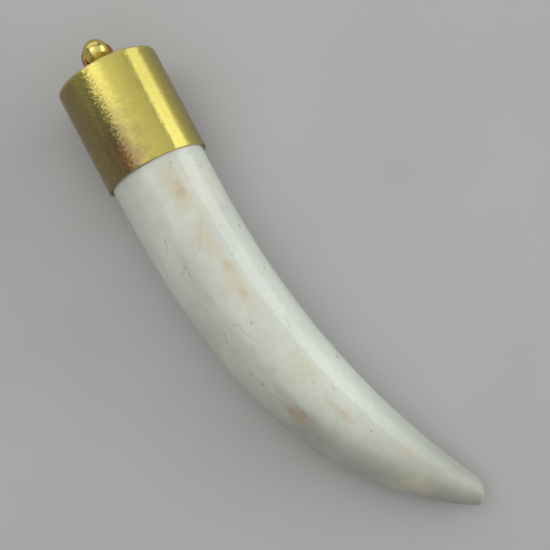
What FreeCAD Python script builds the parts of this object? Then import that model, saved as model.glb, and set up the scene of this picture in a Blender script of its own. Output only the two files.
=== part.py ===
"""Tusk pendant: a curved bone tusk glued into a short metal cap with a ring and ball bail.

The pieces are built in the tusk's own frame: X runs along the cap's axis, from the bail (-X) to
the tip (+X), the cap's mouth is at x = 0, and the tusk bends towards +Y in the XY plane. Every
piece then gets one and the same Placement, the lying pose: rolled about the cap's axis until the
tusk touches the ground, lifted so that the pendant lies on z = 0, and centred over the origin.
Millimetres and degrees throughout.
"""
import FreeCAD, Part
import Sketcher
import math
import os

from FreeCAD import Placement, Rotation, Vector

SHEET = "dims"
DIMENSIONS = [
    ("cap_diameter", 10.0),        # outside of the metal sleeve
    ("cap_length", 10.4),          # closed end to mouth
    ("cap_wall", 0.3),
    ("rim_rounding", 0.22),        # outer edge at the closed end
    ("mouth_rounding", 0.08),      # outer edge at the mouth
    ("disc_thickness", 0.6),       # plate that closes the sleeve
    ("glue_gap", 0.1),             # round the tusk's butt and behind it
    ("glue_setback", 0.25),        # glue stops this far inside the mouth
    ("mouth_diameter", 9.3),       # tusk where it leaves the cap
    ("tusk_length", 43.9),         # mouth to tip, along the curve
    ("tip_rounding", 0.8),
    ("ring_diameter", 3.1),        # bail ring, outside
    ("ring_lift", 0.27),           # solder between the cap's end and the ring
    ("wire_diameter", 0.6),
    ("ball_diameter", 2.4),
    ("ball_rise", 2.05),           # ball's centre above the cap's end
    ("ball_forward", 0.88),        # ball's centre in front of the ring's plane
    ("bail_twist", 12.0),          # ring's plane out of the tusk's plane, about the cap's axis
    ("solder_width", 1.9),
    ("solder_top_width", 1.1),
    ("solder_height", 0.6),
]
SIZE = dict(DIMENSIONS)

SPANS = 14                         # tangent arcs that make the tusk's centreline
CLOSE = 1e-4                       # lengths nearer than this count as equal
LOFT_CLOSE = 1e-3                  # the same for the round end edge of a loft
STEEPEST_ROLL = 30.0               # the lying roll is looked for between 0 and this
HALVINGS = 50                      # times that range is halved
DRAFT_SIZE = 2.0                   # an outline is first drawn this large
DRAFT_HEIGHT = 20.0                # and this far from the axis, before its sizes are bound
# Heading of the centreline, in radians, at share t of the length: b1 t + b2 t^2 + b3 t^3.
BEND = (0.142, 0.875, -0.192)
# Radius at share t, relative to the mouth's radius: 1 + g1 t + g2 t^2 + g3 t^3.
GIRTH = (-0.245, 0.937, -1.466)


def make_sheet(doc):
    """One row per driving dimension: its name, its value, and an alias on the value."""
    sheet = doc.addObject("Spreadsheet::Sheet", SHEET)
    for row, (name, value) in enumerate(DIMENSIONS, start=1):
        sheet.set("A%d" % row, name)
        sheet.set("B%d" % row, str(value))
        sheet.setAlias("B%d" % row, name)
    doc.recompute()
    return sheet


def bind(thing, prop, formula):
    """Bind a property to a formula whose words that name a dimension are read from the sheet."""
    words = formula.replace("(", "( ").replace(")", " )").split()
    thing.setExpression(prop, " ".join(SHEET + "." + word if word in SIZE else word for word in words))


def cubic(coefficients, share):
    first, second, third = coefficients
    return first * share + second * share ** 2 + third * share ** 3


def stations():
    """Ends of the centreline's tangent arcs, as (share, x, y, heading in radians)."""
    span = SIZE["tusk_length"] / SPANS
    x = y = start = 0.0
    found = [(0.0, x, y, start)]
    for step in range(1, SPANS + 1):
        end = cubic(BEND, step / SPANS)
        half_turn = (end - start) / 2
        chord = span * math.sin(half_turn) / half_turn
        x += chord * math.cos(start + half_turn)
        y += chord * math.sin(start + half_turn)
        found.append((step / SPANS, x, y, end))
        start = end
    return found


def origin_plane(body, role):
    """One of the body's own three base planes."""
    return next(plane for plane in body.Origin.OriginFeatures if plane.Role == role)


def add_sketch(body, name, role):
    sketch = body.newObject("Sketcher::SketchObject", name)
    sketch.AttachmentSupport = [(origin_plane(body, role), "")]
    sketch.MapMode = "FlatFace"
    return sketch


def add_circle(sketch, radius_formula):
    """A circle about the sketch's own origin."""
    sketch.addGeometry(Part.Circle(Vector(0, 0, 0), Vector(0, 0, 1), 1.0), False)
    sketch.addConstraint(Sketcher.Constraint("Coincident", 0, 3, -1, 1))
    radius = sketch.addConstraint(Sketcher.Constraint("Radius", 0, 1.0))
    bind(sketch, "Constraints[%d]" % radius, radius_formula)


def add_outline(sketch, corners):
    """A closed outline of straight lines, each corner a pair of formulas for x and y."""
    drafts = []
    for index in range(len(corners)):
        turn = 2 * math.pi * index / len(corners)
        height = DRAFT_HEIGHT + DRAFT_SIZE * math.sin(turn)
        drafts.append(Vector(DRAFT_SIZE * math.cos(turn), height, 0))
    for index, draft in enumerate(drafts):
        following = drafts[(index + 1) % len(drafts)]
        sketch.addGeometry(Part.LineSegment(draft, following), False)
    for index in range(len(corners)):
        following = (index + 1) % len(corners)
        sketch.addConstraint(Sketcher.Constraint("Coincident", index, 2, following, 1))
    for index, (along, out) in enumerate(corners):
        across = sketch.addConstraint(Sketcher.Constraint("DistanceX", -1, 1, index, 1, 1.0))
        bind(sketch, "Constraints[%d]" % across, along)
        upward = sketch.addConstraint(Sketcher.Constraint("DistanceY", -1, 1, index, 1, 1.0))
        bind(sketch, "Constraints[%d]" % upward, out)


def revolve_about_cap_axis(body, name, corners):
    """A ring-shaped solid: the outline, drawn beside the cap's axis, turned all the way round."""
    sketch = add_sketch(body, name + "_outline", "XY_Plane")
    add_outline(sketch, corners)
    turned = body.newObject("PartDesign::Revolution", name + "_turned")
    turned.Profile = sketch
    turned.ReferenceAxis = (sketch, ["H_Axis"])
    turned.Angle = 360.0
    return turned


def round_edges(body, name, base, along, radius, size_name):
    """Fillet the round edge that stands at x = along with this radius about the cap's axis."""
    edges = []
    for number, edge in enumerate(base.Shape.Edges, start=1):
        curve = edge.Curve
        if not isinstance(curve, Part.Circle):
            continue
        if abs(curve.Center.x - along) < CLOSE and abs(curve.Radius - radius) < CLOSE:
            edges.append("Edge%d" % number)
    fillet = body.newObject("PartDesign::Fillet", name)
    fillet.Base = (base, edges)
    bind(fillet, "Radius", size_name)
    return fillet


def make_sleeve(doc):
    """The cap's open-ended tube, its outer edges eased."""
    body = doc.addObject("PartDesign::Body", "cap_sleeve")
    inside = "cap_diameter / 2 - cap_wall"
    turned = revolve_about_cap_axis(body, "sleeve", [
        ("-1 * cap_length", inside),
        ("0", inside),
        ("0", "cap_diameter / 2"),
        ("-1 * cap_length", "cap_diameter / 2"),
    ])
    doc.recompute()
    outside = SIZE["cap_diameter"] / 2
    rim = round_edges(body, "rim", turned, -SIZE["cap_length"], outside, "rim_rounding")
    doc.recompute()
    round_edges(body, "mouth", rim, 0.0, outside, "mouth_rounding")
    return body


def make_end_disc(doc):
    """The plate soldered inside the sleeve's far end, flush with it."""
    body = doc.addObject("PartDesign::Body", "cap_end_disc")
    inner_face = "disc_thickness - cap_length"
    edge = "cap_diameter / 2 - cap_wall"
    revolve_about_cap_axis(body, "disc", [
        ("-1 * cap_length", "0"),
        (inner_face, "0"),
        (inner_face, edge),
        ("-1 * cap_length", edge),
    ])
    return body


def make_glue(doc):
    """The adhesive that fills the gap behind the butt and round it, as a thin cup."""
    body = doc.addObject("PartDesign::Body", "glue_film")
    floor = "disc_thickness - cap_length"
    lining = "disc_thickness - cap_length + glue_gap"
    outside = "cap_diameter / 2 - cap_wall"
    inside = "cap_diameter / 2 - cap_wall - glue_gap"
    revolve_about_cap_axis(body, "glue", [
        (floor, "0"),
        (lining, "0"),
        (lining, inside),
        ("-1 * glue_setback", inside),
        ("-1 * glue_setback", outside),
        (floor, outside),
    ])
    return body


def make_tusk(doc):
    """Turned butt for the cap, then the horn: round sections lofted along the bending line."""
    body = doc.addObject("PartDesign::Body", "tusk")
    butt_end = "disc_thickness - cap_length + glue_gap"
    butt_radius = "cap_diameter / 2 - cap_wall - glue_gap"
    revolve_about_cap_axis(body, "butt", [
        (butt_end, "0"),
        ("0", "0"),
        ("0", butt_radius),
        (butt_end, butt_radius),
    ])
    sections = []
    for number, (share, x, y, turn) in enumerate(stations()):
        section = add_sketch(body, "section_%02d" % number, "YZ_Plane")
        facing = Rotation(Vector(0, 1, 0), math.degrees(turn))
        section.AttachmentOffset = Placement(Vector(y, 0, x), facing)
        add_circle(section, "mouth_diameter / 2 * %.5f" % (1 + cubic(GIRTH, share)))
        sections.append(section)
    doc.recompute()
    horn = body.newObject("PartDesign::AdditiveLoft", "horn")
    horn.Profile = sections[0]
    horn.Sections = sections[1:]
    doc.recompute()
    tip_radius = SIZE["mouth_diameter"] / 2 * (1 + cubic(GIRTH, 1.0))
    tip_edges = []
    for number, edge in enumerate(horn.Shape.Edges, start=1):
        far = edge.BoundBox.XMin > stations()[-1][1] - 2 * tip_radius
        if far and abs(edge.Length - 2 * math.pi * tip_radius) < LOFT_CLOSE:
            tip_edges.append("Edge%d" % number)
    tip = body.newObject("PartDesign::Fillet", "tip")
    tip.Base = (horn, tip_edges)
    bind(tip, "Radius", "tip_rounding")
    return body


def bail_place(rise, forward):
    """Where a bail piece's centre stands: so far off the cap's end, so far before the ring."""
    twist = Placement(Vector(0, 0, 0), Rotation(Vector(1, 0, 0), SIZE["bail_twist"]))
    return twist.multiply(Placement(Vector(-SIZE["cap_length"] - rise, 0, forward), Rotation()))


def add_ring(doc, name):
    """The closed wire ring that stands on the cap's end."""
    ring = doc.addObject("Part::Torus", name)
    bind(ring, "Radius1", "ring_diameter / 2 - wire_diameter / 2")
    bind(ring, "Radius2", "wire_diameter / 2")
    ring.Placement = bail_place(SIZE["ring_lift"] + SIZE["ring_diameter"] / 2, 0.0)
    return ring


def cut_round_ring(doc, name, solid, ring):
    """The solid with a seat where the ring's wire passes."""
    cut = doc.addObject("Part::Cut", name)
    cut.Base = solid
    cut.Tool = ring
    return cut


def make_ball(doc, ring):
    """The polished ball, seated on the front of the ring's upper arc."""
    ball = doc.addObject("Part::Sphere", "ball_blank")
    bind(ball, "Radius", "ball_diameter / 2")
    ball.Placement = bail_place(SIZE["ball_rise"], SIZE["ball_forward"])
    return cut_round_ring(doc, "bail_ball", ball, ring)


def make_solder(doc, ring):
    """The flared foot of solder that holds the ring to the cap's end."""
    foot = doc.addObject("Part::Cone", "solder_blank")
    bind(foot, "Radius1", "solder_width / 2")
    bind(foot, "Radius2", "solder_top_width / 2")
    bind(foot, "Height", "solder_height")
    outward = Rotation(Vector(0, 1, 0), -90)
    foot.Placement = Placement(Vector(-SIZE["cap_length"], 0, 0), outward)
    return cut_round_ring(doc, "bail_solder", foot, ring)


def lying_roll():
    """Roll about the cap's axis, in degrees, at which the tusk's underside meets the ground.

    The cap's side touches the ground already. A section with centre (x, y), radius r and heading
    a has its lowest point at cap radius - y sin(roll) - r sqrt(1 - (sin a sin roll)^2), so the
    roll is halved in on until the lowest section is just at the ground.
    """
    flat, steep = 0.0, STEEPEST_ROLL
    for attempt in range(HALVINGS):
        roll = (flat + steep) / 2
        lean = math.sin(math.radians(roll))
        lowest = SIZE["cap_diameter"] / 2
        for share, x, y, turn in stations():
            radius = SIZE["mouth_diameter"] / 2 * (1 + cubic(GIRTH, share))
            drop = y * lean + radius * math.sqrt(1 - (math.sin(turn) * lean) ** 2)
            lowest = min(lowest, SIZE["cap_diameter"] / 2 - drop)
        if lowest > 0:
            flat = roll
        else:
            steep = roll
    return flat


def lay_down(doc, pieces):
    """Give every piece the lying pose, then centre the whole pendant over the origin."""
    roll = Placement(Vector(0, 0, 0), Rotation(Vector(1, 0, 0), -lying_roll()))
    own = [piece.Placement for piece in pieces]
    for piece, place in zip(pieces, own):
        piece.Placement = roll.multiply(place)
    doc.recompute()
    box = FreeCAD.BoundBox()
    for piece in pieces:
        box.add(piece.Shape.optimalBoundingBox(False))
    centring = Placement(Vector(-box.Center.x, -box.Center.y, -box.ZMin), Rotation())
    for piece, place in zip(pieces, own):
        piece.Placement = centring.multiply(roll).multiply(place)
    doc.recompute()


def check_and_write(doc, pieces):
    """Refuse a failed feature or a bad shape, then write one file per piece."""
    for thing in doc.Objects:
        if "Invalid" in thing.State or "Error" in thing.State:
            raise RuntimeError("failed feature: " + thing.Label)
    os.makedirs("parts", exist_ok=True)
    for piece in pieces:
        shape = piece.Shape
        if shape.isNull() or not shape.isValid() or len(shape.Solids) != 1:
            raise RuntimeError("bad shape: " + piece.Label)
        shape.exportStep(os.path.join("parts", piece.Label + ".step"))
        box = shape.optimalBoundingBox(False)
        print("%-14s %8.3f mm3  z %.3f to %.3f" % (piece.Label, shape.Volume, box.ZMin, box.ZMax))


def main():
    doc = FreeCAD.newDocument("tusk_pendant")
    make_sheet(doc)
    ring_seat = add_ring(doc, "ring_seat")
    pieces = [
        make_tusk(doc),
        make_glue(doc),
        make_sleeve(doc),
        make_end_disc(doc),
        add_ring(doc, "bail_ring"),
        make_ball(doc, ring_seat),
        make_solder(doc, ring_seat),
    ]
    doc.recompute()
    lay_down(doc, pieces)
    check_and_write(doc, pieces)


main()
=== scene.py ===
"""Looks of the tusk pendant: bone horn, brushed gold cap, rubbed wire ring and polished ball.

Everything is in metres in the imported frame: the pendant lies on z = 0, the cap's axis runs along
+X from the bail to the mouth, and the tusk bends towards +Y. Pieces are worked out in the tusk's
own frame first (cap's axis on X, mouth at x = 0, bend in the XY plane) and then laid down.
"""

import math

import bpy
import numpy as np
from mathutils import Matrix, Vector


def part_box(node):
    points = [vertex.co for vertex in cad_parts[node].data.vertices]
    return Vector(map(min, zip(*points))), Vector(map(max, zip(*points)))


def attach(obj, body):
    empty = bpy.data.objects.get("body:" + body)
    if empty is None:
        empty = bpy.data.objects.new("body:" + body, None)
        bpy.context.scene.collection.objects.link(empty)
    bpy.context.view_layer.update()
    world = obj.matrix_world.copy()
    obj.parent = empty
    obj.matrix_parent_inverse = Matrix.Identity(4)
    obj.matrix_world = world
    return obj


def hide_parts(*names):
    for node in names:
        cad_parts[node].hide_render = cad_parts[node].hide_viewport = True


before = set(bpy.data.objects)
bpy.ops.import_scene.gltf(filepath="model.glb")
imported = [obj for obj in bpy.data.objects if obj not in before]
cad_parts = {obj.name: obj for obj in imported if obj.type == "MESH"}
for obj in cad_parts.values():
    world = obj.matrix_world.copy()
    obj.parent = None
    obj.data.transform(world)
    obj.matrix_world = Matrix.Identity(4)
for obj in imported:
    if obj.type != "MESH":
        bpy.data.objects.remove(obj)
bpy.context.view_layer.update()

MM = 0.001

# ---------------------------------------------------------------- places read from the frame

cap_low, cap_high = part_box("cap_sleeve")
disc_low, disc_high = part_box("cap_end_disc")
ring_low, ring_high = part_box("bail_ring")
ball_low, ball_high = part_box("bail_ball")

MOUTH = np.array([cap_high.x, (cap_low.y + cap_high.y) / 2, (cap_low.z + cap_high.z) / 2])
CAP_RADIUS = (cap_high.y - cap_low.y) / 2
CAP_LENGTH = cap_high.x - cap_low.x
DISC_RADIUS = (disc_high.y - disc_low.y) / 2
DISC_THICKNESS = disc_high.x - disc_low.x
RING_CENTRE = np.array((ring_low + ring_high) / 2)
RING_RADIUS = (ring_high.x - ring_low.x) / 2
BALL_CENTRE = np.array((ball_low + ball_high) / 2)
BALL_RADIUS = (ball_high.z - ball_low.z) / 2

# ---------------------------------------------------------------- the tusk's own sizes

ROLL = math.radians(14.93)         # the tusk's plane leans this far, hollow side down
BAIL_TWIST = math.radians(12.0)    # the ring's plane stands out of the tusk's plane by this much
TUSK_LENGTH = 43.9 * MM            # mouth to tip, along the curve
MOUTH_RADIUS = 4.65 * MM
BUTT_RADIUS = 4.6 * MM             # the turned end inside the cap
BUTT_LENGTH = 9.7 * MM
TIP_LENGTH = 1.15 * MM             # the stretch that rounds off to the tip
TIP_SLANT = 0.75 * MM              # it is so much longer on the hollow side, shorter on the belly
WIRE_RADIUS = 0.3 * MM
NEAR_AXIS = 0.02 * MM              # where a turned profile stops short of the axis
LIP_SET_BACK = 0.12 * MM           # the adhesive's lip lies this far inside the mouth
LIP_SAG = 0.04 * MM                # and this much deeper against the horn
DISH_DEPTH = 0.04 * MM             # hollow of the end plate's face
FOOT_HEIGHT = 0.42 * MM            # the solder's foot under the ring
FOOT_RADIUS = 0.82 * MM
FOOT_SUNK = 0.12                   # share of its height that is sunk in the plate
FOOT_FLATNESS = 0.8                # its thickness over its width
WORN_OFFSET = np.array([-1.1, -2.0, 4.5]) * MM     # middle of the cap's worn patch, from the mouth
WORN_REACH = (2.6 * MM, 1.4 * MM, 1.6 * MM)
DULL_REACH = (9.5 * MM, 3.4 * MM, 3.2 * MM)        # and of the dulled metal round it
BEND = (0.142, 0.875, -0.192)      # heading at share t: b1 t + b2 t^2 + b3 t^3, in radians
GIRTH = (-0.245, 0.937, -1.466)    # radius at share t over the mouth's: 1 + g1 t + g2 t^2 + g3 t^3
# The line that the carver left along the belly: place and spread as shares of the length, and how
# much the radius swells there as a share of itself.
BELLY_LINE = ((0.33, 0.09, -0.019), (0.665, 0.04, 0.032), (0.85, 0.11, -0.050), (1.0, 0.06, 0.11))


def cubic(coefficients, share):
    """A cubic without a constant: c1 t + c2 t^2 + c3 t^3 at share t."""
    first, second, third = coefficients
    return first * share + second * share ** 2 + third * share ** 3


def lay_down(points):
    """Roll points of the tusk's own frame about the cap's axis and move the mouth to its place."""
    x, y, z = points[..., 0], points[..., 1], points[..., 2]
    rolled = np.stack([
        x,
        y * math.cos(ROLL) + z * math.sin(ROLL),
        z * math.cos(ROLL) - y * math.sin(ROLL),
    ], axis=-1)
    return rolled + MOUTH


# ---------------------------------------------------------------- making meshes

def volume(points, corners):
    """Signed volume of a closed mesh of triangles: a sixth of the sum of a . (b x c)."""
    a, b, c = (points[corners[:, k]] for k in range(3))
    return float(np.einsum("ij,ij->i", a, np.cross(b, c)).sum()) / 6


def skin(name, rings, closed_path=False, along=None):
    """A smooth closed mesh through rings of points, an array of rings x around x 3.

    Neighbouring rings are joined by quads. On a closed path the last ring joins the first; on an
    open one a fan to each end ring's middle closes it. The UV map runs once round (u) and once
    along (v), evenly or by each ring's own value in along. Faces are turned outwards by the sign
    of the volume.
    """
    count, around = rings.shape[:2]
    points = rings.reshape(-1, 3)
    row = np.arange(count if closed_path else count - 1)[:, None]
    col = np.arange(around)[None, :]
    next_row, next_col = (row + 1) % count, (col + 1) % around
    quads = np.stack([
        row * around + col, row * around + next_col,
        next_row * around + next_col, next_row * around + col,
    ], axis=-1).reshape(-1, 4)
    if along is None:
        along = np.linspace(0, 1, count + 1 if closed_path else count)
    lower, upper = along[row] + 0 * col, along[row + 1] + 0 * col
    left, right = 0 * row + col / around, 0 * row + (col + 1) / around
    quad_uv = np.stack([
        np.stack([left, lower], -1), np.stack([right, lower], -1),
        np.stack([right, upper], -1), np.stack([left, upper], -1),
    ], axis=2).reshape(-1, 4, 2)

    fans, fan_uv = [], []
    if not closed_path:
        ends = np.stack([rings[0].mean(0), rings[-1].mean(0)])
        points = np.concatenate([points, ends])
        ring_col = np.arange(around)
        following = (ring_col + 1) % around
        last = (count - 1) * around
        middle = np.full(around, count * around)
        fans.append(np.stack([following, ring_col, middle], -1))
        fans.append(np.stack([last + ring_col, last + following, middle + 1], -1))
        u = np.stack([ring_col + 1, ring_col, ring_col + 0.5], -1) / around
        fan_uv.append(np.stack([u, np.zeros_like(u)], -1))
        fan_uv.append(np.stack([u[:, [1, 0, 2]], np.ones_like(u)], -1))

    triangles = np.concatenate([quads[:, [0, 1, 2]], quads[:, [0, 2, 3]]] + fans)
    if volume(points, triangles) < 0:
        quads, quad_uv = quads[:, ::-1], quad_uv[:, ::-1]
        fans = [fan[:, ::-1] for fan in fans]
        fan_uv = [uv[:, ::-1] for uv in fan_uv]

    mesh = bpy.data.meshes.new(name)
    faces = quads.tolist() + [face for fan in fans for face in fan.tolist()]
    mesh.from_pydata(points.tolist(), [], faces)
    uv = np.concatenate([quad_uv.reshape(-1, 2)] + [fan.reshape(-1, 2) for fan in fan_uv])
    mesh.uv_layers.new(name="UVMap").data.foreach_set("uv", uv.astype(np.float32).ravel())
    mesh.polygons.foreach_set("use_smooth", np.ones(len(faces), bool))
    mesh.validate()
    piece = bpy.data.objects.new(name, mesh)
    bpy.context.scene.collection.objects.link(piece)
    return piece


def turned(name, profile, around, closed_path=True, wobble=None):
    """A solid turned about the cap's axis from (x, radius) pairs; wobble(angle, x) scales it."""
    angle = np.linspace(0, 2 * np.pi, around, endpoint=False)[None, :]
    x = profile[:, 0][:, None] + 0 * angle
    radius = profile[:, 1][:, None] + 0 * angle
    if wobble is not None:
        radius = radius * wobble(angle, x)
    points = np.stack([x, radius * np.cos(angle), radius * np.sin(angle)], axis=-1)
    return skin(name, lay_down(points), closed_path)


def run(start, end, steps):
    """Points of a straight run from start up to, but not including, end."""
    share = np.linspace(0, 1, steps, endpoint=False)[:, None]
    return np.asarray(start) * (1 - share) + np.asarray(end) * share


def corner(centre, radius, first, last, steps):
    """Points of a round edge in a profile: centre + radius (cos a, sin a), a in degrees."""
    angle = np.radians(np.linspace(first, last, steps))
    return np.asarray(centre) + radius * np.stack([np.cos(angle), np.sin(angle)], axis=-1)


# ---------------------------------------------------------------- pieces

def centreline(share):
    """Point and heading of the tusk's line: the heading's cosine and sine summed along it."""
    fine = np.linspace(0, 1, 4001)
    heading = cubic(BEND, fine)
    step = TUSK_LENGTH * (fine[1] - fine[0])
    x = np.concatenate([[0], np.cumsum(np.cos((heading[1:] + heading[:-1]) / 2)) * step])
    y = np.concatenate([[0], np.cumsum(np.sin((heading[1:] + heading[:-1]) / 2)) * step])
    return np.interp(share, fine, x), np.interp(share, fine, y), cubic(BEND, share)


def carved(share, angle):
    """Hand-worked unevenness of the horn, as a share of its radius.

    Three long shallow flats follow the tusk, cos(3 angle) turning slowly with the length, and two
    slower swells run along it, all dying away at the mouth, where the horn fits the cap. On the
    belly, weighted by cos(angle)^2 where that side faces out, each entry of BELLY_LINE adds
    swell exp(-((share - place) / spread)^2).
    """
    settle = np.clip(share / 0.12, 0, 1) ** 2
    flats = 0.0035 * (1 - np.cos(3 * angle + 2.2 * share))
    swell = 0.0030 * (1 - np.cos(2 * np.pi * (1.7 * share) + angle))
    ripple = 0.0010 * (1 - np.cos(2 * np.pi * 5.3 * share - 2 * angle))
    belly = np.clip(-np.cos(angle), 0, 1) ** 2
    line = sum(rise * np.exp(-((share - place) / spread) ** 2) for place, spread, rise in BELLY_LINE)
    return 1 + settle * (0.0075 - flats - swell - ripple) + belly * line


def make_tusk():
    """The bone horn with its butt: rings square to the centreline, radius by the girth law.

    Over the last stretch the radius also falls as sqrt(1 - q^3), q running from 0 to 1 at the
    tip, which gives the blunt rounded end; the stretch is TIP_LENGTH + TIP_SLANT cos(angle) long.
    """
    around = 176
    angle = np.linspace(0, 2 * np.pi, around, endpoint=False)[None, :] - np.pi / 2
    edge = 0.25 * MM
    butt = np.concatenate([
        run((-BUTT_LENGTH, 0.4 * BUTT_RADIUS), (-BUTT_LENGTH, BUTT_RADIUS - edge), 5),
        corner((edge - BUTT_LENGTH, BUTT_RADIUS - edge), edge, 180, 90, 6),
        run((2 * edge - BUTT_LENGTH, BUTT_RADIUS), (0, BUTT_RADIUS), 14),
    ])
    butt_x = butt[:, 0][:, None] + 0 * angle
    butt_radius = butt[:, 1][:, None] + 0 * angle
    butt_rings = np.stack([butt_x, butt_radius * np.cos(angle), butt_radius * np.sin(angle)], -1)

    tip_start = 1 - TIP_LENGTH / TUSK_LENGTH
    body_share = np.linspace(0.0004, tip_start, 330)
    rounding = np.sin(np.linspace(0, np.pi / 2, 28))[1:-1]
    share = np.concatenate([body_share, tip_start + (1 - tip_start) * rounding])[:, None]
    x, y, heading = centreline(share)
    dressed = (TIP_LENGTH + TIP_SLANT * np.cos(angle)) / TUSK_LENGTH
    gone = np.clip(1 - (1 - share) / dressed, 0, 1)
    radius = MOUTH_RADIUS * (1 + cubic(GIRTH, share)) * np.sqrt(1 - gone ** 3)
    radius = radius * carved(share, angle)
    out, up = radius * np.cos(angle), radius * np.sin(angle)
    horn_rings = np.stack([x - out * np.sin(heading), y + out * np.cos(heading), up], axis=-1)
    along = np.concatenate([butt[:, 0], share[:, 0] * TUSK_LENGTH])
    along = (along + BUTT_LENGTH) / (BUTT_LENGTH + TUSK_LENGTH)
    return skin("bone_tusk", lay_down(np.concatenate([butt_rings, horn_rings])), along=along)


def make_glue():
    """The adhesive's thin cup: floor, outer wall, sagging lip at the mouth, inner wall."""
    back = DISC_THICKNESS - CAP_LENGTH
    outside, inside = DISC_RADIUS, BUTT_RADIUS
    lining = outside - inside
    lip = -LIP_SET_BACK
    profile = np.concatenate([
        run((back, NEAR_AXIS), (back, outside), 8),
        run((back, outside), (lip, outside), 24),
        run((lip, outside), (lip - LIP_SAG, inside), 4),
        run((lip - LIP_SAG, inside), (back + lining, inside), 24),
        run((back + lining, inside), (back + lining, NEAR_AXIS), 8),
    ])
    return turned("glue_line", profile, around=160)


def hand_finish(angle, x):
    """The sleeve's slight out-of-round, always inwards: two and five soft cosine dips round it."""
    dips = 0.0012 * (1 - np.cos(2 * angle + 0.7)) + 0.0002 * (1 - np.cos(5 * angle + 300 * x))
    return 1 - dips


def make_sleeve():
    """The tube: inner wall, eased mouth lip, outer wall, rounded rim, flat end ring."""
    outside, inside = CAP_RADIUS, DISC_RADIUS + 0.01 * MM
    rim, lip, burr = 0.22 * MM, 0.04 * MM, 0.03 * MM
    profile = np.concatenate([
        run((-CAP_LENGTH, inside), (-burr, inside), 30),
        corner((-burr, inside + burr), burr, -90, 0, 5),
        corner((-lip, outside - lip), lip, 0, 90, 8),
        run((-lip * 1.5, outside), (-CAP_LENGTH + rim * 1.3, outside), 90),
        corner((-CAP_LENGTH + rim, outside - rim), rim, 90, 180, 12),
    ])
    return turned("gold_sleeve", profile, around=320, wobble=hand_finish)


def make_end_disc():
    """The end plate: a shallow dish, DISH_DEPTH sin(pi r / R)^2, its edge dressed into the sleeve."""
    face, back = -CAP_LENGTH, DISC_THICKNESS - CAP_LENGTH
    edge = 0.06 * MM
    radius = np.linspace(0.02, 1, 40)[:, None] * (DISC_RADIUS - edge)
    dish = DISH_DEPTH * np.sin(np.pi * radius / DISC_RADIUS) ** 2
    profile = np.concatenate([
        np.concatenate([face + dish, radius], axis=1),
        corner((face + edge, DISC_RADIUS - edge), edge, 180, 90, 6),
        run((face + 2 * edge, DISC_RADIUS), (back, DISC_RADIUS), 6),
        run((back, DISC_RADIUS), (back, 0.02 * DISC_RADIUS), 10),
    ])
    return turned("gold_end_plate", profile, around=192, closed_path=False)


def bail_axes():
    """The ring's own directions: along the cap, across it, and the way its hole faces."""
    lean = BAIL_TWIST - ROLL
    along = np.array([1.0, 0.0, 0.0])
    across = np.array([0.0, math.cos(lean), math.sin(lean)])
    facing = np.array([0.0, -math.sin(lean), math.cos(lean)])
    return along, across, facing


def make_ring():
    """The wire ring: a circle of wire carried round a circle, the wire a little flattened."""
    along, across, facing = bail_axes()
    sweep = np.linspace(0, 2 * np.pi, 144, endpoint=False)[:, None]
    wire = np.linspace(0, 2 * np.pi, 40, endpoint=False)[None, :]
    middle = RING_RADIUS - WIRE_RADIUS
    flatten = 1 - 0.03 * np.cos(2 * wire) ** 2
    reach = middle + WIRE_RADIUS * flatten * np.cos(wire)
    height = WIRE_RADIUS * flatten * np.sin(wire) + 0 * sweep
    points = (RING_CENTRE
              + (reach * np.cos(sweep))[..., None] * along
              + (reach * np.sin(sweep))[..., None] * across
              + height[..., None] * facing)
    return skin("bail_wire_ring", points, closed_path=True)


def make_ball():
    """The ball with the collar of solder that ties it to the ring's upper arc.

    A sphere whose radius swells by a soft bump towards the ring's nearest wire, so the joint is a
    small concave fillet instead of two surfaces crossing.
    """
    along, across, facing = bail_axes()
    polar = np.linspace(0, np.pi, 98)[1:-1, None]
    sweep = np.linspace(0, 2 * np.pi, 160, endpoint=False)[None, :]
    direction = ((np.sin(polar) * np.cos(sweep))[..., None] * across
                 + (np.sin(polar) * np.sin(sweep))[..., None] * facing
                 - (np.cos(polar) + 0 * sweep)[..., None] * along)
    top_wire = RING_CENTRE - (RING_RADIUS - WIRE_RADIUS) * along
    towards = top_wire - BALL_CENTRE
    towards = towards / np.linalg.norm(towards)
    nearness = np.clip((direction @ towards - 0.80) / 0.20, 0, 1)
    radius = BALL_RADIUS * (1 + 0.05 * nearness ** 2 * (3 - 2 * nearness))
    return skin("bail_polished_ball", BALL_CENTRE + radius[..., None] * direction)


def make_solder():
    """The ring's foot: a flare whose radius falls off as (1 - rise)^2.2 over a stem of 0.42 of it.

    The top is crowned as a quarter of a circle, and cosines round it make it slightly uneven.
    """
    along, across, facing = bail_axes()
    foot = np.array([cap_low.x, MOUTH[1], MOUTH[2]])
    rise = np.linspace(-FOOT_SUNK, 1, 34)[:, None]
    sweep = np.linspace(0, 2 * np.pi, 96, endpoint=False)[None, :]
    hollow = 0.42 + 0.58 * (1 - np.clip(rise, 0, 1)) ** 2.2
    crown = np.sqrt(np.clip(1 - np.clip((rise - 0.8) / 0.2, 0, 0.98) ** 2, 0, 1))
    uneven = 1 + 0.05 * np.cos(3 * sweep + 1) + 0.03 * np.cos(5 * sweep)
    radius = FOOT_RADIUS * hollow * crown * uneven
    points = (foot
              - (rise * FOOT_HEIGHT + 0 * sweep)[..., None] * along
              + (radius * np.cos(sweep))[..., None] * across
              + (FOOT_FLATNESS * radius * np.sin(sweep))[..., None] * facing)
    return skin("bail_solder_foot", points)


# ---------------------------------------------------------------- node helpers

MIX_FACTOR, MIX_FIRST, MIX_SECOND, MIX_RESULT = 0, 6, 7, 2     # a colour Mix node's sockets


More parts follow.
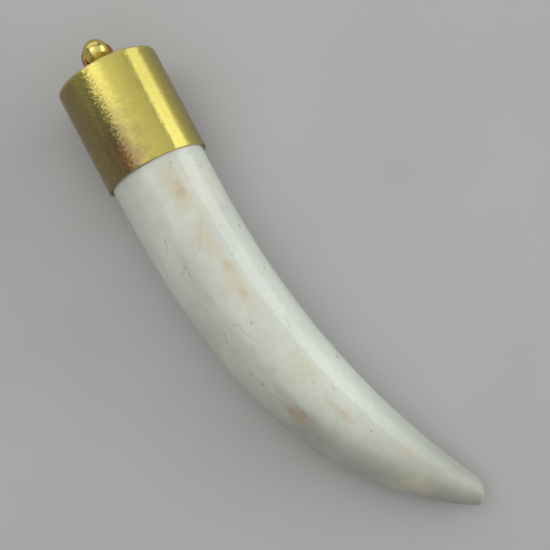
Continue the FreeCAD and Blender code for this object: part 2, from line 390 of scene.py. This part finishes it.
class Graph:
    """A node tree with short ways to add and join nodes."""

    def __init__(self, tree):
        self.tree = tree
        tree.nodes.clear()

    def add(self, kind, inputs=None, **settings):
        """A node with these settings; inputs are values, or sockets to link from."""
        node = self.tree.nodes.new(kind)
        for key, value in settings.items():
            setattr(node, key, value)
        self.feed(node, inputs or {})
        return node

    def feed(self, node, inputs):
        """Link sockets to a node's inputs, and set plain values on the inputs themselves."""
        for key, value in inputs.items():
            if isinstance(value, bpy.types.NodeSocket):
                self.tree.links.new(value, node.inputs[key])
            else:
                node.inputs[key].default_value = value

    def math(self, operation, first, second, clamp=False):
        """A sum, product or other operation on two numbers."""
        inputs = {0: first, 1: second}
        return self.add("ShaderNodeMath", inputs, operation=operation, use_clamp=clamp).outputs[0]

    def vector(self, operation, first, second=None, **more):
        """A vector operation; a dot product or a length gives a number."""
        inputs = {0: first, **more}
        if second is not None:
            inputs[1] = second
        node = self.add("ShaderNodeVectorMath", inputs, operation=operation)
        return node.outputs["Value" if operation in ("DOT_PRODUCT", "LENGTH") else "Vector"]

    def use(self, group, inputs):
        """The only output of a node group placed with these inputs."""
        return self.add("ShaderNodeGroup", inputs, node_tree=group).outputs[0]

    def blend(self, share, first, second):
        """Colour between first and second by a share from 0 to 1."""
        node = self.add("ShaderNodeMix", data_type="RGBA", inputs={
            MIX_FACTOR: share, MIX_FIRST: first, MIX_SECOND: second})
        return node.outputs[MIX_RESULT]

    def between_colours(self, share, strength, first, second):
        """Colour between first and second by a mask of this strength."""
        return self.blend(self.math("MULTIPLY", share, strength), first, second)

    def between(self, value, low, high, to_low=0.0, to_high=1.0):
        """A value's smooth step from low to high, mapped on to_low to to_high."""
        node = self.add("ShaderNodeMapRange", interpolation_type="SMOOTHSTEP", inputs={
            "Value": value, "From Min": low, "From Max": high, "To Min": to_low, "To Max": to_high})
        return node.outputs[0]

    def bump(self, height, depth, strength, under=None):
        """A normal from a height that runs 0 to 1, depth metres deep, laid over another normal."""
        inputs = {"Height": height, "Distance": depth, "Strength": strength}
        if under is not None:
            inputs["Normal"] = under
        return self.add("ShaderNodeBump", inputs).outputs[0]


def new_group(name, inputs, outputs):
    """An empty node group with float or vector inputs and float outputs, and its two end nodes."""
    tree = bpy.data.node_groups.new(name, "ShaderNodeTree")
    for label, kind, value in inputs:
        socket = tree.interface.new_socket(name=label, in_out="INPUT", socket_type=kind)
        if value is not None:
            socket.default_value = value
    for label in outputs:
        tree.interface.new_socket(name=label, in_out="OUTPUT", socket_type="NodeSocketFloat")
    graph = Graph(tree)
    return graph, graph.add("NodeGroupInput"), graph.add("NodeGroupOutput")


def make_patches_group():
    """Soft clouds: noise of a given size, cut to a mask between two levels."""
    graph, entry, leave = new_group("soft_patches", [
        ("Vector", "NodeSocketVector", None),
        ("Size", "NodeSocketFloat", 0.005),
        ("Detail", "NodeSocketFloat", 3.0),
        ("From", "NodeSocketFloat", 0.5),
        ("To", "NodeSocketFloat", 0.7),
    ], ["Mask"])
    scale = graph.math("DIVIDE", 1.0, entry.outputs["Size"])
    noise = graph.add("ShaderNodeTexNoise", {
        "Vector": entry.outputs["Vector"], "Scale": scale,
        "Detail": entry.outputs["Detail"], "Roughness": 0.55})
    mask = graph.between(noise.outputs[0], entry.outputs["From"], entry.outputs["To"])
    graph.feed(leave, {"Mask": mask})
    return graph.tree


def make_brushing_group():
    """Marks of a brushing wheel that ran round the cap: noise short along X, long across it."""
    graph, entry, leave = new_group("round_brushing", [
        ("Vector", "NodeSocketVector", None),
        ("Width", "NodeSocketFloat", 0.0001),
        ("Length", "NodeSocketFloat", 0.001),
    ], ["Height"])
    split = graph.add("ShaderNodeSeparateXYZ", {0: entry.outputs["Vector"]})
    across = graph.math("DIVIDE", split.outputs["X"], entry.outputs["Width"])
    around_y = graph.math("DIVIDE", split.outputs["Y"], entry.outputs["Length"])
    around_z = graph.math("DIVIDE", split.outputs["Z"], entry.outputs["Length"])
    stretched = graph.add("ShaderNodeCombineXYZ", {"X": across, "Y": around_y, "Z": around_z})
    noise = graph.add("ShaderNodeTexNoise", {
        "Vector": stretched.outputs[0], "Scale": 1.0, "Detail": 2.0, "Roughness": 0.6})
    graph.feed(leave, {"Height": noise.outputs[0]})
    return graph.tree


def shaken(graph, vector, size, reach):
    """The vector moved about by up to reach metres, by noise of this size."""
    scale = graph.math("DIVIDE", 1.0, size)
    noise = graph.add("ShaderNodeTexNoise", {"Vector": vector, "Scale": scale, "Detail": 3.0})
    centred = graph.vector("SUBTRACT", noise.outputs["Color"], (0.5, 0.5, 0.5))
    moved = graph.vector("SCALE", centred, Scale=graph.math("MULTIPLY", reach, 2.0))
    return graph.vector("ADD", vector, moved)


def make_stain_group():
    """One stain with a ragged edge: 1 at its centre, 0 past its reach along each axis."""
    graph, entry, leave = new_group("ragged_stain", [
        ("Vector", "NodeSocketVector", None),
        ("Centre", "NodeSocketVector", None),
        ("Reach", "NodeSocketVector", None),
        ("Ragged", "NodeSocketFloat", 0.001),
    ], ["Mask"])
    ragged = entry.outputs["Ragged"]
    moved = shaken(graph, entry.outputs["Vector"], ragged, ragged)
    offset = graph.vector("SUBTRACT", moved, entry.outputs["Centre"])
    share = graph.vector("DIVIDE", offset, entry.outputs["Reach"])
    distance = graph.vector("LENGTH", share)
    graph.feed(leave, {"Mask": graph.between(distance, 0.15, 1.0, 1.0, 0.0)})
    return graph.tree


def make_hairline_group():
    """One hair crack: a mask round the segment from Start to End, shaken a little.

    The nearest point of the segment is Start + t (End - Start), with t the share of the point's
    offset along the segment, held between 0 and 1.
    """
    graph, entry, leave = new_group("hairline", [
        ("Vector", "NodeSocketVector", None),
        ("Start", "NodeSocketVector", None),
        ("End", "NodeSocketVector", None),
        ("Width", "NodeSocketFloat", 0.0001),
    ], ["Mask"])
    moved = shaken(graph, entry.outputs["Vector"], 0.8 * MM, 0.30 * MM)
    offset = graph.vector("SUBTRACT", moved, entry.outputs["Start"])
    segment = graph.vector("SUBTRACT", entry.outputs["End"], entry.outputs["Start"])
    along = graph.vector("DOT_PRODUCT", offset, segment)
    whole = graph.vector("DOT_PRODUCT", segment, segment)
    share = graph.math("DIVIDE", along, whole, clamp=True)
    nearest = graph.vector("SCALE", segment, Scale=share)
    distance = graph.vector("LENGTH", graph.vector("SUBTRACT", offset, nearest))
    width = entry.outputs["Width"]
    core = graph.math("MULTIPLY", width, 0.25)
    graph.feed(leave, {"Mask": graph.between(distance, core, width, 1.0, 0.0)})
    return graph.tree


def make_crazing_group():
    """A net of fine cracks: the borders of shaken Voronoi cells of a given size."""
    graph, entry, leave = new_group("crazing", [
        ("Vector", "NodeSocketVector", None),
        ("Cell", "NodeSocketFloat", 0.002),
        ("Width", "NodeSocketFloat", 0.03),
    ], ["Mask"])
    cell = entry.outputs["Cell"]
    moved = shaken(graph, entry.outputs["Vector"], cell, graph.math("MULTIPLY", cell, 0.55))
    net = graph.add("ShaderNodeTexVoronoi", {
        "Vector": moved, "Scale": graph.math("DIVIDE", 1.0, cell)}, feature="DISTANCE_TO_EDGE")
    mask = graph.between(net.outputs["Distance"], 0.0, entry.outputs["Width"], 1.0, 0.0)
    graph.feed(leave, {"Mask": mask})
    return graph.tree


def make_pores_group():
    """Scattered pin holes: the middles of some Voronoi cells, their sizes differing."""
    graph, entry, leave = new_group("pores", [
        ("Vector", "NodeSocketVector", None),
        ("Cell", "NodeSocketFloat", 0.002),
        ("Size", "NodeSocketFloat", 0.08),
        ("Few", "NodeSocketFloat", 0.7),
    ], ["Mask"])
    cells = graph.add("ShaderNodeTexVoronoi", {
        "Vector": entry.outputs["Vector"],
        "Scale": graph.math("DIVIDE", 1.0, entry.outputs["Cell"])})
    chance = graph.add("ShaderNodeSeparateXYZ", {0: cells.outputs["Color"]})
    size = graph.math("MULTIPLY", entry.outputs["Size"], chance.outputs["Y"])
    hole = graph.between(cells.outputs["Distance"], 0.0, size, 1.0, 0.0)
    chosen = graph.math("GREATER_THAN", chance.outputs["X"], entry.outputs["Few"])
    graph.feed(leave, {"Mask": graph.math("MULTIPLY", hole, chosen)})
    return graph.tree


PATCHES = make_patches_group()
BRUSHING = make_brushing_group()
STAIN = make_stain_group()
HAIRLINE = make_hairline_group()
CRAZING = make_crazing_group()
PORES = make_pores_group()


def patches(graph, vector, size, low, high, detail):
    """A mask of soft clouds of this size."""
    return graph.use(PATCHES, {
        "Vector": vector, "Size": size, "Detail": detail, "From": low, "To": high})


def brushing(graph, vector, width, length):
    """The height of brushing marks of this width and length."""
    return graph.use(BRUSHING, {"Vector": vector, "Width": width, "Length": length})


def new_material(name):
    """A new material, its graph, its Principled shader and its Object coordinates."""
    finish = bpy.data.materials.new(name)
    finish.use_nodes = True
    graph = Graph(finish.node_tree)
    shader = graph.add("ShaderNodeBsdfPrincipled")
    end = graph.add("ShaderNodeOutputMaterial")
    graph.tree.links.new(shader.outputs[0], end.inputs["Surface"])
    place = graph.add("ShaderNodeTexCoord").outputs["Object"]
    return finish, graph, shader, place


# ---------------------------------------------------------------- finishes

BONE_PALE = (0.755, 0.795, 0.695, 1)
BONE_GREY = (0.575, 0.605, 0.53, 1)
# The tip's grey, partly its own colour and partly painted shade.
BONE_TIP_GREY_AND_SHADE = (0.43, 0.45, 0.38, 1)
# Grey-green for the crazing, and for the painted shade on the belly and hollow edges.
BONE_GREY_GREEN_AND_SHADE = (0.33, 0.345, 0.295, 1)
BONE_CREAM = (0.69, 0.63, 0.44, 1)
BONE_TAN = (0.60, 0.44, 0.25, 1)
BONE_RUST = (0.43, 0.27, 0.15, 1)
BONE_PORE = (0.13, 0.13, 0.10, 1)

# Marks on the horn, in millimetres of its unrolled skin: (round towards the belly from the top
# line, along from the mouth), then how far each stain reaches round and along, and its strength.
CREAM_STAINS = (
    ((0.5, 3.2), (1.5, 3.4), 0.85),
    ((0.5, 8.6), (1.3, 3.4), 0.70),
    ((0.3, 13.2), (1.5, 3.6), 0.65),
    ((0.4, 22.6), (1.9, 2.6), 0.40),
)
TAN_STAINS = (
    ((0.3, 3.5), (0.7, 1.0), 0.58),
    ((0.1, 11.4), (0.7, 1.1), 0.42),
    ((0.3, 14.3), (0.6, 0.8), 0.40),
    ((0.9, 27.6), (0.6, 2.2), 0.45),
    ((3.4, 28.4), (1.0, 1.0), 0.30),
    ((0.1, 35.0), (1.0, 1.2), 0.32),
    ((2.8, 18.6), (0.5, 0.8), 0.32),
    ((4.5, 17.8), (0.7, 0.6), 0.28),
    ((2.5, 20.9), (0.9, 0.7), 0.30),
)
RUST_STAINS = (
    ((4.3, 25.0), (1.3, 2.3), 0.62),
    ((3.6, 23.2), (0.8, 1.6), 0.25),
)
PIN_HOLES = (
    ((1.4, 16.7), 0.16), ((4.7, 20.1), 0.20), ((4.5, 21.3), 0.20), ((0.6, 24.1), 0.14),
    ((-3.9, 24.2), 0.34), ((-3.8, 8.6), 0.26), ((-3.4, 13.3), 0.20), ((0.4, 30.8), 0.16),
    ((-1.5, 39.6), 0.16),
)
# Hair cracks: start, end, width.
CRACKS = (
    ((3.76, 6.5), (4.4, 7.6), 0.13),
    ((-0.15, 0.8), (0.1, 1.3), 0.15),
    ((0.3, 7.0), (-0.3, 7.1), 0.10),
    ((-0.5, 25.5), (-0.4, 26.1), 0.14),
    ((3.46, 9.3), (3.6, 10.7), 0.09),
    ((3.76, 15.0), (2.6, 16.2), 0.08),
    ((2.6, 16.2), (2.2, 17.6), 0.08),
    ((3.9, 15.6), (4.5, 16.8), 0.09),
)


def strongest(graph, masks):
    """The largest of several masks at every point."""
    found = masks[0]
    for mask in masks[1:]:
        found = graph.math("MAXIMUM", found, mask)
    return found


def stained(graph, skin_map, stains):
    """A mask of all these stains, each at its own strength."""
    masks = []
    for (around, along), (width, length), strength in stains:
        mask = graph.use(STAIN, {
            "Vector": skin_map, "Centre": (around * MM, along * MM, 0),
            "Reach": (width * MM, length * MM, 1), "Ragged": 0.8 * min(width, length) * MM})
        masks.append(graph.math("MULTIPLY", mask, strength))
    return strongest(graph, masks)


def marked(graph, skin_map):
    """Masks of the single pin holes and of the single hair cracks."""
    holes = [graph.use(STAIN, {
        "Vector": skin_map, "Centre": (around * MM, along * MM, 0),
        "Reach": (size * MM, size * MM, 1), "Ragged": 0.5 * size * MM})
        for (around, along), size in PIN_HOLES]
    cracks = [graph.use(HAIRLINE, {
        "Vector": skin_map, "Start": (start[0] * MM, start[1] * MM, 0),
        "End": (end[0] * MM, end[1] * MM, 0), "Width": width * MM})
        for start, end, width in CRACKS]
    return strongest(graph, holes), strongest(graph, cracks)


def bone_finish():
    """Buffed bone: cloudy off-white, stained cream, tan and rust, with hair cracks and pin holes.

    The belly side's edge is greyed by painted shade, more so towards the tip, and so is the hollow
    side's edge near the mouth; the top is warmer, and the tip greyer, partly its own colour and
    partly painted shade. The named marks lie on the unrolled skin, and all the rest is noise in
    space. A clear polish that thins towards the tip lies over a softer gloss.
    """
    finish, graph, shader, place = new_material("buffed_bone")
    uv = graph.add("ShaderNodeUVMap", uv_map="UVMap").outputs[0]
    girth = 2 * math.pi * MOUTH_RADIUS
    skin_map = graph.add("ShaderNodeMapping", {
        "Vector": uv, "Location": (-0.5 * girth, -BUTT_LENGTH, 0),
        "Scale": (girth, BUTT_LENGTH + TUSK_LENGTH, 1)}).outputs[0]
    split = graph.add("ShaderNodeSeparateXYZ", {0: skin_map})
    around, along = split.outputs["X"], split.outputs["Y"]

    drawn = graph.add("ShaderNodeMapping", {"Vector": place, "Scale": (0.55, 1.0, 1.0)}).outputs[0]
    veil = patches(graph, drawn, 4.5 * MM, 0.42, 0.68, 4)
    cream = patches(graph, drawn, 6.0 * MM, 0.52, 0.74, 3)
    tan = patches(graph, drawn, 3.2 * MM, 0.64, 0.80, 5)
    mottle = patches(graph, place, 1.1 * MM, 0.35, 0.75, 4)
    fibre = graph.add("ShaderNodeMapping", {"Vector": place, "Scale": (0.10, 1.0, 1.0)}).outputs[0]
    threads = patches(graph, fibre, 0.28 * MM, 0.35, 0.75, 2)
    crazed_where = patches(graph, place, 3.4 * MM, 0.46, 0.62, 2)
    crazing = graph.use(CRAZING, {"Vector": place, "Cell": 1.9 * MM, "Width": 0.035})
    crazing = graph.math("MULTIPLY", crazing, crazed_where)
    pores = graph.use(PORES, {"Vector": place, "Cell": 1.3 * MM, "Size": 0.13, "Few": 0.80})
    holes, cracks = marked(graph, skin_map)

    # Painted shade: a grey band along the belly side's edge, growing towards the tip, clouded by the
    # veil.
    belly = graph.math("MULTIPLY", graph.between(around, 0.3 * MM, 5.8 * MM),
                       graph.between(around, 8.0 * MM, 13.5 * MM, 1.0, 0.0))
    growing = graph.between(along, 6 * MM, 34 * MM, 0.08, 1.6)
    belly_painted_shade = graph.math("MULTIPLY", belly, graph.between(veil, 0.0, 1.0, 0.52, 0.72))
    belly_painted_shade = graph.math("MULTIPLY", belly_painted_shade, growing, clamp=True)
    warm = graph.math("MULTIPLY", graph.between(around, -1.6 * MM, 0.4 * MM, 0.0, 0.36),
                      graph.between(around, 0.8 * MM, 5.0 * MM, 1.0, 0.25))
    # Painted shade along the hollow side's edge, fading out from 22 to 36 mm along.
    hollow = graph.math("MULTIPLY", graph.between(around, -2.8 * MM, -6.0 * MM, 0.0, 0.32),
                        graph.between(along, 22 * MM, 36 * MM, 1.0, 0.0))
    # The tip's greying: partly its own colour, partly painted shade.
    dull = graph.between(along, 24 * MM, 42 * MM, 0.0, 1.0)

    colour = graph.between_colours(veil, 0.48, BONE_PALE, BONE_GREY)
    colour = graph.between_colours(mottle, 0.24, colour, BONE_GREY)
    colour = graph.blend(dull, colour, BONE_TIP_GREY_AND_SHADE)
    colour = graph.blend(belly_painted_shade, colour, BONE_GREY_GREEN_AND_SHADE)
    colour = graph.blend(hollow, colour, BONE_GREY_GREEN_AND_SHADE)
    colour = graph.between_colours(cream, 0.62, colour, BONE_CREAM)
    colour = graph.between_colours(warm, mottle, colour, BONE_CREAM)
    colour = graph.blend(stained(graph, skin_map, CREAM_STAINS), colour, BONE_CREAM)
    colour = graph.between_colours(tan, 0.40, colour, BONE_TAN)
    colour = graph.blend(stained(graph, skin_map, TAN_STAINS), colour, BONE_TAN)
    colour = graph.blend(stained(graph, skin_map, RUST_STAINS), colour, BONE_RUST)
    colour = graph.between_colours(threads, 0.06, colour, BONE_GREY)
    colour = graph.between_colours(crazing, 0.22, colour, BONE_GREY_GREEN_AND_SHADE)
    colour = graph.between_colours(pores, 0.40, colour, BONE_PORE)
    colour = graph.between_colours(cracks, 0.30, colour, BONE_PORE)
    colour = graph.between_colours(holes, 0.50, colour, BONE_PORE)

    waves = patches(graph, place, 1.6 * MM, 0.2, 0.8, 3)
    sunk = graph.math("SUBTRACT", 1.0, strongest(graph, [pores, holes, cracks]))
    normal = graph.bump(waves, 0.008 * MM, 0.6)
    normal = graph.bump(threads, 0.003 * MM, 0.5, normal)
    normal = graph.bump(sunk, 0.02 * MM, 0.6, normal)
    graph.feed(shader, {
        "Base Color": colour,
        "Roughness": graph.between(threads, 0.0, 1.0, 0.34, 0.46),
        "Normal": normal,
        "IOR": 1.54,
        "Subsurface Weight": 0.18,
        "Subsurface Radius": (1.0, 0.8, 0.6),
        "Subsurface Scale": 0.8 * MM,
        "Coat Weight": graph.between(along, 26 * MM, 42 * MM, 0.65, 0.18),
        "Coat Roughness": 0.07,
        "Coat IOR": 1.5,
    })
    return finish


GOLD = (0.74, 0.645, 0.115, 1)
GOLD_DEEP = (0.58, 0.40, 0.07, 1)
GOLD_WORN = (0.40, 0.20, 0.05, 1)
# Painted shade: the colour that darkens the cap's lower flanks.
GOLD_PAINTED_SHADE = (0.22, 0.155, 0.055, 1)
GOLD_DULL = (0.30, 0.225, 0.055, 1)
BALL_GOLD = (0.80, 0.67, 0.21, 1)
RING_COPPER = (0.27, 0.135, 0.055, 1)
GOLD_EDGE = (0.75, 0.60, 0.35, 1)      # tint of the metal seen edge on
GLUE_DARK = (0.035, 0.024, 0.012, 1)
GLUE_AMBER = (0.10, 0.07, 0.035, 1)


def brushed_gold_finish():
    """Plated brass brushed round its axis: fine grooves, a worn copper patch, painted shade on the
    flanks.

    The marks widen reflections along the cap more than round it, and each stroke leans the surface
    a little its own way, more on the rougher side, which breaks the reflections' edges into short
    dashes. Copper shows in a mottled patch at the mouth, with duller metal round it; the rim at the
    bail end is painted paler as a painted highlight, and painted shade darkens the plate towards its
    lower flanks. A soft clear coat lies over it all.
    """
    finish, graph, shader, place = new_material("brushed_gold")
    fine = brushing(graph, place, 0.07 * MM, 1.3 * MM)
    coarse = brushing(graph, place, 0.20 * MM, 4.0 * MM)
    grain = patches(graph, place, 0.12 * MM, 0.35, 0.75, 2)
    tarnish = patches(graph, place, 2.4 * MM, 0.50, 0.78, 4)
    from_axis = graph.vector("SUBTRACT", place, tuple(MOUTH))
    # Height across the cap, tipped a little towards +Y; below it the plate gets painted shade.
    rubbed = graph.vector("DOT_PRODUCT", from_axis, (0.0, 0.25, 1.0))
    shade = graph.between(rubbed, 1.9 * MM, 4.75 * MM, 0.88, 0.0)
    split = graph.add("ShaderNodeSeparateXYZ", {0: from_axis})
    rougher = graph.between(split.outputs["Y"], 0.6 * MM, -1.4 * MM, 0.28, 0.74)
    # Painted highlight: a paler band round the rim at the bail end.
    rim = graph.between(split.outputs["X"], 0.2 * MM - CAP_LENGTH, 0.5 * MM - CAP_LENGTH, 0.5, 0.0)
    worn = graph.use(STAIN, {
        "Vector": place, "Centre": tuple(MOUTH + WORN_OFFSET), "Reach": WORN_REACH,
        "Ragged": 0.9 * MM})
    dulled = graph.use(STAIN, {
        "Vector": place, "Centre": tuple(MOUTH + WORN_OFFSET), "Reach": DULL_REACH,
        "Ragged": 1.0 * MM})
    flaked = patches(graph, place, 0.28 * MM, 0.34, 0.60, 3)
    copper = graph.math("MULTIPLY", worn, graph.between(flaked, 0.0, 1.0, 0.45, 1.0))

    colour = graph.between_colours(tarnish, 0.30, GOLD, GOLD_DEEP)
    colour = graph.between_colours(graph.between(fine, 0.35, 0.65), 0.16, colour, GOLD_DEEP)
    colour = graph.blend(dulled, colour, GOLD_DULL)
    # Painted shade on the cap's lower flanks.
    colour = graph.blend(shade, colour, GOLD_PAINTED_SHADE)
    colour = graph.blend(copper, colour, GOLD_WORN)
    # Painted highlight on the rim at the bail end.
    colour = graph.blend(rim, colour, BALL_GOLD)
    rough = graph.math("ADD", graph.between(grain, 0.0, 1.0, 0.30, 0.37),
                       graph.math("MULTIPLY", worn, 0.08))
    normal = graph.bump(coarse, 0.006 * MM, 0.5)
    normal = graph.bump(fine, 0.004 * MM, 0.6, normal)
    normal = graph.bump(graph.math("MULTIPLY", flaked, worn), 0.012 * MM, 0.8, normal)
    tangent = graph.add("ShaderNodeTangent", direction_type="RADIAL", axis="X").outputs[0]
    strokes = graph.math("SUBTRACT", brushing(graph, place, 0.11 * MM, 0.30 * MM), 0.5)
    lean = graph.vector("SCALE", tangent, Scale=graph.math("MULTIPLY", strokes, rougher))
    normal = graph.vector("NORMALIZE", graph.vector("ADD", normal, lean))
    graph.feed(shader, {
        "Base Color": colour,
        "Roughness": rough,
        "Normal": normal,
        "Tangent": tangent,
        "Anisotropic": 0.92,
        "Anisotropic Rotation": 0.25,
        "Specular Tint": GOLD_EDGE,
        "Coat Weight": 1.0,
        "Coat Roughness": 0.28,
        "Coat IOR": 1.55,
        "Metallic": 1.0,
    })
    return finish


def polished_gold_finish():
    """The ball's paler plate, buffed: soft reflections, faint marks and warmer patches."""
    finish, graph, shader, place = new_material("polished_gold")
    tarnish = patches(graph, place, 0.9 * MM, 0.45, 0.75, 3)
    scuffs = brushing(graph, place, 0.05 * MM, 0.5 * MM)
    graph.feed(shader, {
        "Base Color": graph.between_colours(tarnish, 0.25, BALL_GOLD, GOLD_DEEP),
        "Roughness": graph.between(scuffs, 0.3, 0.7, 0.19, 0.26),
        "Normal": graph.bump(scuffs, 0.0015 * MM, 0.5),
        "Specular Tint": GOLD_EDGE,
        "Metallic": 1.0,
    })
    return finish


def ring_finish():
    """The ring's plate rubbed through: coppery brown wire with gold left in patches."""
    finish, graph, shader, place = new_material("rubbed_wire")
    left = patches(graph, place, 0.7 * MM, 0.50, 0.72, 3)
    drawn = patches(graph, place, 0.12 * MM, 0.3, 0.7, 2)
    graph.feed(shader, {
        "Base Color": graph.between_colours(left, 0.65, RING_COPPER, GOLD_DEEP),
        "Roughness": graph.between(left, 0.0, 1.0, 0.32, 0.20),
        "Normal": graph.bump(drawn, 0.006 * MM, 0.5),
        "Metallic": 1.0,
    })
    return finish


def solder_finish():
    """Plated-over solder: duller and lumpier than the wire that it holds."""
    finish, graph, shader, place = new_material("plated_solder")
    lumps = patches(graph, place, 0.35 * MM, 0.25, 0.8, 3)
    graph.feed(shader, {
        "Base Color": graph.between_colours(lumps, 0.5, GOLD_DEEP, GOLD),
        "Roughness": graph.between(lumps, 0.0, 1.0, 0.40, 0.24),
        "Normal": graph.bump(lumps, 0.03 * MM, 0.7),
        "Metallic": 1.0,
    })
    return finish


def glue_finish():
    """Cured adhesive: dark amber, cloudy, with a dull skin."""
    finish, graph, shader, place = new_material("cured_glue")
    cloud = patches(graph, place, 0.6 * MM, 0.3, 0.7, 3)
    graph.feed(shader, {
        "Base Color": graph.blend(cloud, GLUE_DARK, GLUE_AMBER),
        "Roughness": graph.between(cloud, 0.0, 1.0, 0.45, 0.7),
        "Normal": graph.bump(cloud, 0.03 * MM, 0.8),
    })
    return finish


# ---------------------------------------------------------------- putting the pieces in place

def place_piece(piece, finish, node):
    """Give a piece its finish, and let it stand for its CAD node on the one body."""
    piece.data.materials.append(finish)
    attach(piece, "root")
    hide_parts(node)


brushed_gold = brushed_gold_finish()
polished_gold = polished_gold_finish()
place_piece(make_tusk(), bone_finish(), "tusk")
place_piece(make_glue(), glue_finish(), "glue_film")
place_piece(make_sleeve(), brushed_gold, "cap_sleeve")
place_piece(make_end_disc(), brushed_gold, "cap_end_disc")
place_piece(make_ring(), ring_finish(), "bail_ring")
place_piece(make_ball(), polished_gold, "bail_ball")
place_piece(make_solder(), solder_finish(), "bail_solder")


# ---------------------------------------------------------------- floor, light and camera

AZIMUTH = math.radians(61.9)
ELEVATION = math.radians(84.0)
TO_CAMERA = Vector((
    math.sin(AZIMUTH) * math.cos(ELEVATION),
    -math.cos(AZIMUTH) * math.cos(ELEVATION),
    math.sin(ELEVATION),
))
RIGHT = Vector((math.cos(AZIMUTH), math.sin(AZIMUTH), 0.0))
UPWARD = TO_CAMERA.cross(RIGHT)
VIEW_DISTANCE = 102.1 * MM         # camera to the plane through the cap's mouth
MOUTH_LEFT = 10.85 * MM            # the mouth stands this far left of the view's axis
MOUTH_ABOVE = 9.70 * MM            # and this far above it
SENSOR = 36.0                      # width in millimetres, as is the focal length
LENS = 72.0
FLOOR_HALF = 1.5                   # half the floor's side, in metres
FLOOR_GREY = (0.50, 0.50, 0.49, 1)
FLOOR_PALE = (0.53, 0.53, 0.52, 1)
WHITE = (1.0, 1.0, 1.0)
COOL = (0.97, 1.0, 1.03)


def make_camera():
    """The camera, set back from the cap's mouth and moved aside so that the whole pendant shows."""
    data = bpy.data.cameras.new("view")
    data.lens, data.sensor_width = LENS, SENSOR
    data.clip_start, data.clip_end = 0.005, 10.0
    camera = bpy.data.objects.new("view", data)
    camera.location = (Vector(MOUTH) + RIGHT * MOUTH_LEFT - UPWARD * MOUTH_ABOVE
                       + TO_CAMERA * VIEW_DISTANCE)
    camera.rotation_euler = TO_CAMERA.to_track_quat("Z", "Y").to_euler()
    bpy.context.scene.collection.objects.link(camera)
    bpy.context.scene.camera = camera


def make_floor():
    """A plain pale sheet under the pendant, its tone a little uneven."""
    mesh = bpy.data.meshes.new("floor")
    half = FLOOR_HALF
    corners = [(-half, -half, 0), (half, -half, 0), (half, half, 0), (-half, half, 0)]
    mesh.from_pydata(corners, [], [(0, 1, 2, 3)])
    floor = bpy.data.objects.new("floor", mesh)
    bpy.context.scene.collection.objects.link(floor)
    finish, graph, shader, place = new_material("pale_floor")
    cloud = patches(graph, place, 30 * MM, 0.3, 0.7, 3)
    graph.feed(shader, {"Base Color": graph.blend(cloud, FLOOR_GREY, FLOOR_PALE), "Roughness": 0.9})
    mesh.materials.append(finish)


# Soft boxes: name, right and upward, near and far, spread, distance, brightness and tone, as
# make_light takes them.
LIGHTS = (
    ("left_box", -0.85, 0.53, 22, 54, 14, 0.35, 1.0, WHITE),
    ("left_fill", -0.85, 0.53, -5, 48, 34, 0.50, 0.22, WHITE),
    ("right_box", 0.95, 0.31, 58, 92, 34, 0.35, 1.65, COOL),
    ("right_edge", 0.95, 0.31, 58, 66, 32, 0.34, 0.95, COOL),
    ("left_strip", -0.89, -0.45, 62, 67, 30, 0.35, 0.9, COOL),
    ("back_box", -0.45, 0.89, 56, 88, 36, 0.45, 0.75, WHITE),
    ("top_box", 0.25, 0.10, -42, 54, 45, 0.60, 0.60, WHITE),
)


def make_light(name, right, upward, near, far, spread, distance, brightness, tone):
    """A soft box to one side of the view's axis.

    It lies towards (right, upward) of the picture, reaches from near to far degrees off the
    direction of the camera, and spreads to spread degrees each side, at this distance in metres;
    brightness is its radiance and tone its colour.
    """
    middle, half = math.radians((near + far) / 2), math.radians((far - near) / 2)
    sideways = (RIGHT * right + UPWARD * upward).normalized()
    direction = sideways * math.sin(middle) + TO_CAMERA * math.cos(middle)
    outward = sideways * math.cos(middle) - TO_CAMERA * math.sin(middle)
    data = bpy.data.lights.new(name, "AREA")
    data.shape = "RECTANGLE"
    data.size = 2 * distance * math.tan(half)
    data.size_y = 2 * distance * math.tan(math.radians(spread))
    data.energy = brightness * math.pi * data.size * data.size_y
    data.color = tone
    lamp = bpy.data.objects.new(name, data)
    turn = Matrix((outward, direction.cross(outward), direction)).transposed()
    lamp.matrix_world = Matrix.Translation(direction * distance) @ turn.to_4x4()
    bpy.context.scene.collection.objects.link(lamp)


def make_world(horizon, overhead):
    """A plain room: paler round the horizon, darker from about 25 degrees up."""
    world = bpy.data.worlds.new("studio")
    world.use_nodes = True
    graph = Graph(world.node_tree)
    direction = graph.add("ShaderNodeTexCoord").outputs["Generated"]
    height = graph.add("ShaderNodeSeparateXYZ", {0: direction}).outputs["Z"]
    tone = graph.between(height, 0.02, 0.42, horizon, overhead)
    background = graph.add("ShaderNodeBackground", {"Color": tone})
    end = graph.add("ShaderNodeOutputWorld")
    graph.tree.links.new(background.outputs[0], end.inputs["Surface"])
    bpy.context.scene.world = world


make_camera()
make_floor()
make_world(0.34, 0.10)
for light in LIGHTS:
    make_light(*light)
bpy.context.scene.view_settings.view_transform = "Standard"
